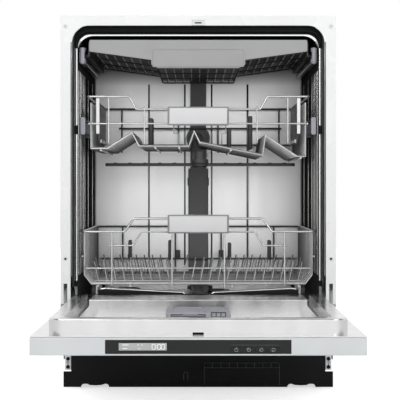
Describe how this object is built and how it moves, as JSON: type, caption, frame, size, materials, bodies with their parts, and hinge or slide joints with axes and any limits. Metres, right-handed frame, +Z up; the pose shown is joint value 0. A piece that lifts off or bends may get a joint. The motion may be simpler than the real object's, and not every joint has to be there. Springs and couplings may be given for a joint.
{
  "type": "built-in dishwasher",
  "caption": "Fully integrated built-in dishwasher with a drop-down door, wire baskets on rails and wheels, a cutlery tray, spray arms and adjustable feet.",
  "frame": {"origin": "on the floor, under the middle of the object's box with the door open", "axes": "+Z up, +X to the right seen from the front, +Y from the front to the back"},
  "size_m": [0.598, 1.067, 0.815],
  "materials": {
    "stainless": "polished pressed sheet",
    "white_sheet": "smooth white enamel",
    "zinc_steel": "dull zinc coated",
    "door_sheet": "smooth grey enamel",
    "panel_silver": "satin silver",
    "black_glass": "polished",
    "button_black": "satin",
    "black_rubber": "moulded",
    "black_plastic": "fine grain",
    "dark_grey_plastic": "fine grain",
    "lavender_plastic": "satin",
    "pale_plastic": "satin",
    "coated_wire": "nylon coated",
    "tray_grey": "satin",
    "rail_steel": "rolled",
    "screw_white": "smooth"
  },
  "bodies": {
    "cabinet": {"tub_wrapper": "stainless", "tub_back": "stainless", "tub_floor": "stainless", "left_side_panel": "white_sheet", "right_side_panel": "white_sheet", "top_crossbars": "white_sheet", "latch_catch": "pale_plastic", "frame_screws": "screw_white", "hinge_brackets": "zinc_steel", "door_seal": "black_rubber", "base_tray": "black_plastic", "plinth_panel": "black_plastic", "service_cover": "black_plastic", "sump": "dark_grey_plastic", "fine_filter": "stainless", "softener_tank": "pale_plastic", "circulation_pump": "dark_grey_plastic", "drain_pump": "pale_plastic", "drain_spigot": "black_plastic", "inlet_valve": "pale_plastic", "power_inlet": "black_plastic", "water_duct": "dark_grey_plastic", "wall_guides": "lavender_plastic"},
    "door": {"door_outer_panel": "door_sheet", "door_liner": "stainless", "door_latch": "black_plastic", "control_panel": "panel_silver", "display_glass": "black_glass", "dispenser_body": "lavender_plastic", "hinge_arms": "zinc_steel"},
    "foot_front_left": {"foot_front_left": "black_plastic"},
    "foot_rear_left": {"foot_rear_left": "black_plastic"},
    "foot_front_right": {"foot_front_right": "black_plastic"},
    "foot_rear_right": {"foot_rear_right": "black_plastic"},
    "power_button": {"power_button": "button_black"},
    "program_button": {"program_button": "button_black"},
    "option_button": {"option_button": "button_black"},
    "start_button": {"start_button": "button_black"},
    "dispenser_lid": {"dispenser_lid": "lavender_plastic"},
    "rinse_aid_cap": {"rinse_aid_cap": "lavender_plastic"},
    "upper_basket": {"upper_basket_floor": "coated_wire", "upper_basket_frame": "coated_wire", "upper_basket_handle": "pale_plastic", "upper_arm_feed": "dark_grey_plastic"},
    "upper_rails": {"upper_rails": "rail_steel"},
    "upper_spray_arm": {"upper_spray_arm": "dark_grey_plastic"},
    "left_cup_shelf": {"left_cup_shelf": "dark_grey_plastic"},
    "right_cup_shelf": {"right_cup_shelf": "dark_grey_plastic"},
    "lower_basket": {"lower_basket_floor": "coated_wire", "lower_basket_frame": "coated_wire", "lower_basket_handle": "pale_plastic"},
    "lower_wheels_front": {"lower_wheels_front": "dark_grey_plastic"},
    "lower_wheels_rear": {"lower_wheels_rear": "dark_grey_plastic"},
    "left_tines": {"left_tines": "coated_wire"},
    "right_tines": {"right_tines": "coated_wire"},
    "cutlery_tray": {"cutlery_tray_front": "tray_grey", "cutlery_tray_wires": "coated_wire"},
    "lower_spray_arm": {"lower_spray_arm": "dark_grey_plastic"},
    "coarse_filter": {"coarse_filter": "dark_grey_plastic"},
    "salt_cap": {"salt_cap": "dark_grey_plastic"}
  },
  "joints": [
    {"name": "door_hinge", "type": "hinge", "parent": "cabinet", "child": "door", "pos_m": [0, 0.0578, 0.2207], "axis": [1, 0, 0], "range_deg": [-90, 0]},
    {"name": "upper_basket_slide", "type": "slide", "parent": "cabinet", "child": "upper_basket", "axis": [0, -1, 0], "range_m": [0, 0.42]},
    {"name": "upper_rails_slide", "type": "slide", "parent": "cabinet", "child": "upper_rails", "axis": [0, -1, 0], "range_m": [0, 0.21]},
    {"name": "upper_spray_arm_spin", "type": "hinge", "parent": "upper_basket", "child": "upper_spray_arm", "pos_m": [0.004, 0.2815, 0.4965], "axis": [0, 0, 1], "continuous": true},
    {"name": "left_cup_shelf_fold", "type": "hinge", "parent": "upper_basket", "child": "left_cup_shelf", "pos_m": [-0.221, 0.2035, 0.628], "axis": [0, -1, 0], "range_deg": [0, 90]},
    {"name": "right_cup_shelf_fold", "type": "hinge", "parent": "upper_basket", "child": "right_cup_shelf", "pos_m": [0.221, 0.2035, 0.628], "axis": [0, 1, 0], "range_deg": [0, 90]},
    {"name": "lower_basket_slide", "type": "slide", "parent": "cabinet", "child": "lower_basket", "axis": [0, -1, 0], "range_m": [0, 0.42]},
    {"name": "front_wheels_roll", "type": "hinge", "parent": "lower_basket", "child": "lower_wheels_front", "pos_m": [0, 0.1305, 0.211], "axis": [1, 0, 0], "continuous": true},
    {"name": "rear_wheels_roll", "type": "hinge", "parent": "lower_basket", "child": "lower_wheels_rear", "pos_m": [0, 0.4465, 0.211], "axis": [1, 0, 0], "continuous": true},
    {"name": "left_tines_fold", "type": "hinge", "parent": "lower_basket", "child": "left_tines", "pos_m": [-0.145, 0.1685, 0.2344], "axis": [-1, 0, 0], "range_deg": [0, 88]},
    {"name": "right_tines_fold", "type": "hinge", "parent": "lower_basket", "child": "right_tines", "pos_m": [0.1, 0.1685, 0.2344], "axis": [-1, 0, 0], "range_deg": [0, 88]},
    {"name": "cutlery_tray_slide", "type": "slide", "parent": "cabinet", "child": "cutlery_tray", "axis": [0, -1, 0], "range_m": [0, 0.4]},
    {"name": "lower_spray_arm_spin", "type": "hinge", "parent": "cabinet", "child": "lower_spray_arm", "pos_m": [0.004, 0.2815, 0.207], "axis": [0, 0, 1], "continuous": true},
    {"name": "coarse_filter_turn", "type": "hinge", "parent": "cabinet", "child": "coarse_filter", "pos_m": [0.04, 0.3185, 0.195], "axis": [0, 0, 1], "range_deg": [0, 90]},
    {"name": "salt_cap_turn", "type": "hinge", "parent": "cabinet", "child": "salt_cap", "pos_m": [-0.17, 0.3485, 0.2], "axis": [0, 0, 1], "range_deg": [0, 90]},
    {"name": "dispenser_lid_slide", "type": "slide", "parent": "door", "child": "dispenser_lid", "axis": [0, 1, 0], "range_m": [0, 0.055]},
    {"name": "rinse_aid_cap_turn", "type": "hinge", "parent": "door", "child": "rinse_aid_cap", "pos_m": [0.037, -0.2995, 0.2], "axis": [0, 0, 1], "range_deg": [0, 90]},
    {"name": "power_button_press", "type": "slide", "parent": "door", "child": "power_button", "axis": [0, 1, 0], "range_m": [0, 0.0012], "stiffness_N_per_m": 400, "springref_m": -0.001},
    {"name": "program_button_press", "type": "slide", "parent": "door", "child": "program_button", "axis": [0, 1, 0], "range_m": [0, 0.0012], "stiffness_N_per_m": 400, "springref_m": -0.001},
    {"name": "option_button_press", "type": "slide", "parent": "door", "child": "option_button", "axis": [0, 1, 0], "range_m": [0, 0.0012], "stiffness_N_per_m": 400, "springref_m": -0.001},
    {"name": "start_button_press", "type": "slide", "parent": "door", "child": "start_button", "axis": [0, 1, 0], "range_m": [0, 0.0012], "stiffness_N_per_m": 400, "springref_m": -0.001},
    {"name": "foot_front_left_height", "type": "slide", "parent": "cabinet", "child": "foot_front_left", "axis": [0, 0, -1], "range_m": [0, 0.06]},
    {"name": "foot_rear_left_height", "type": "slide", "parent": "cabinet", "child": "foot_rear_left", "axis": [0, 0, -1], "range_m": [0, 0.06]},
    {"name": "foot_front_right_height", "type": "slide", "parent": "cabinet", "child": "foot_front_right", "axis": [0, 0, -1], "range_m": [0, 0.06]},
    {"name": "foot_rear_right_height", "type": "slide", "parent": "cabinet", "child": "foot_rear_right", "axis": [0, 0, -1], "range_m": [0, 0.06]}
  ],
  "couplings": [
    {"joint": "upper_rails_slide", "follows": "upper_basket_slide", "ratio": 0.5},
    {"joint": "front_wheels_roll", "follows": "lower_basket_slide", "rad_per_m": 71.942},
    {"joint": "rear_wheels_roll", "follows": "lower_basket_slide", "rad_per_m": 71.942}
  ]
}
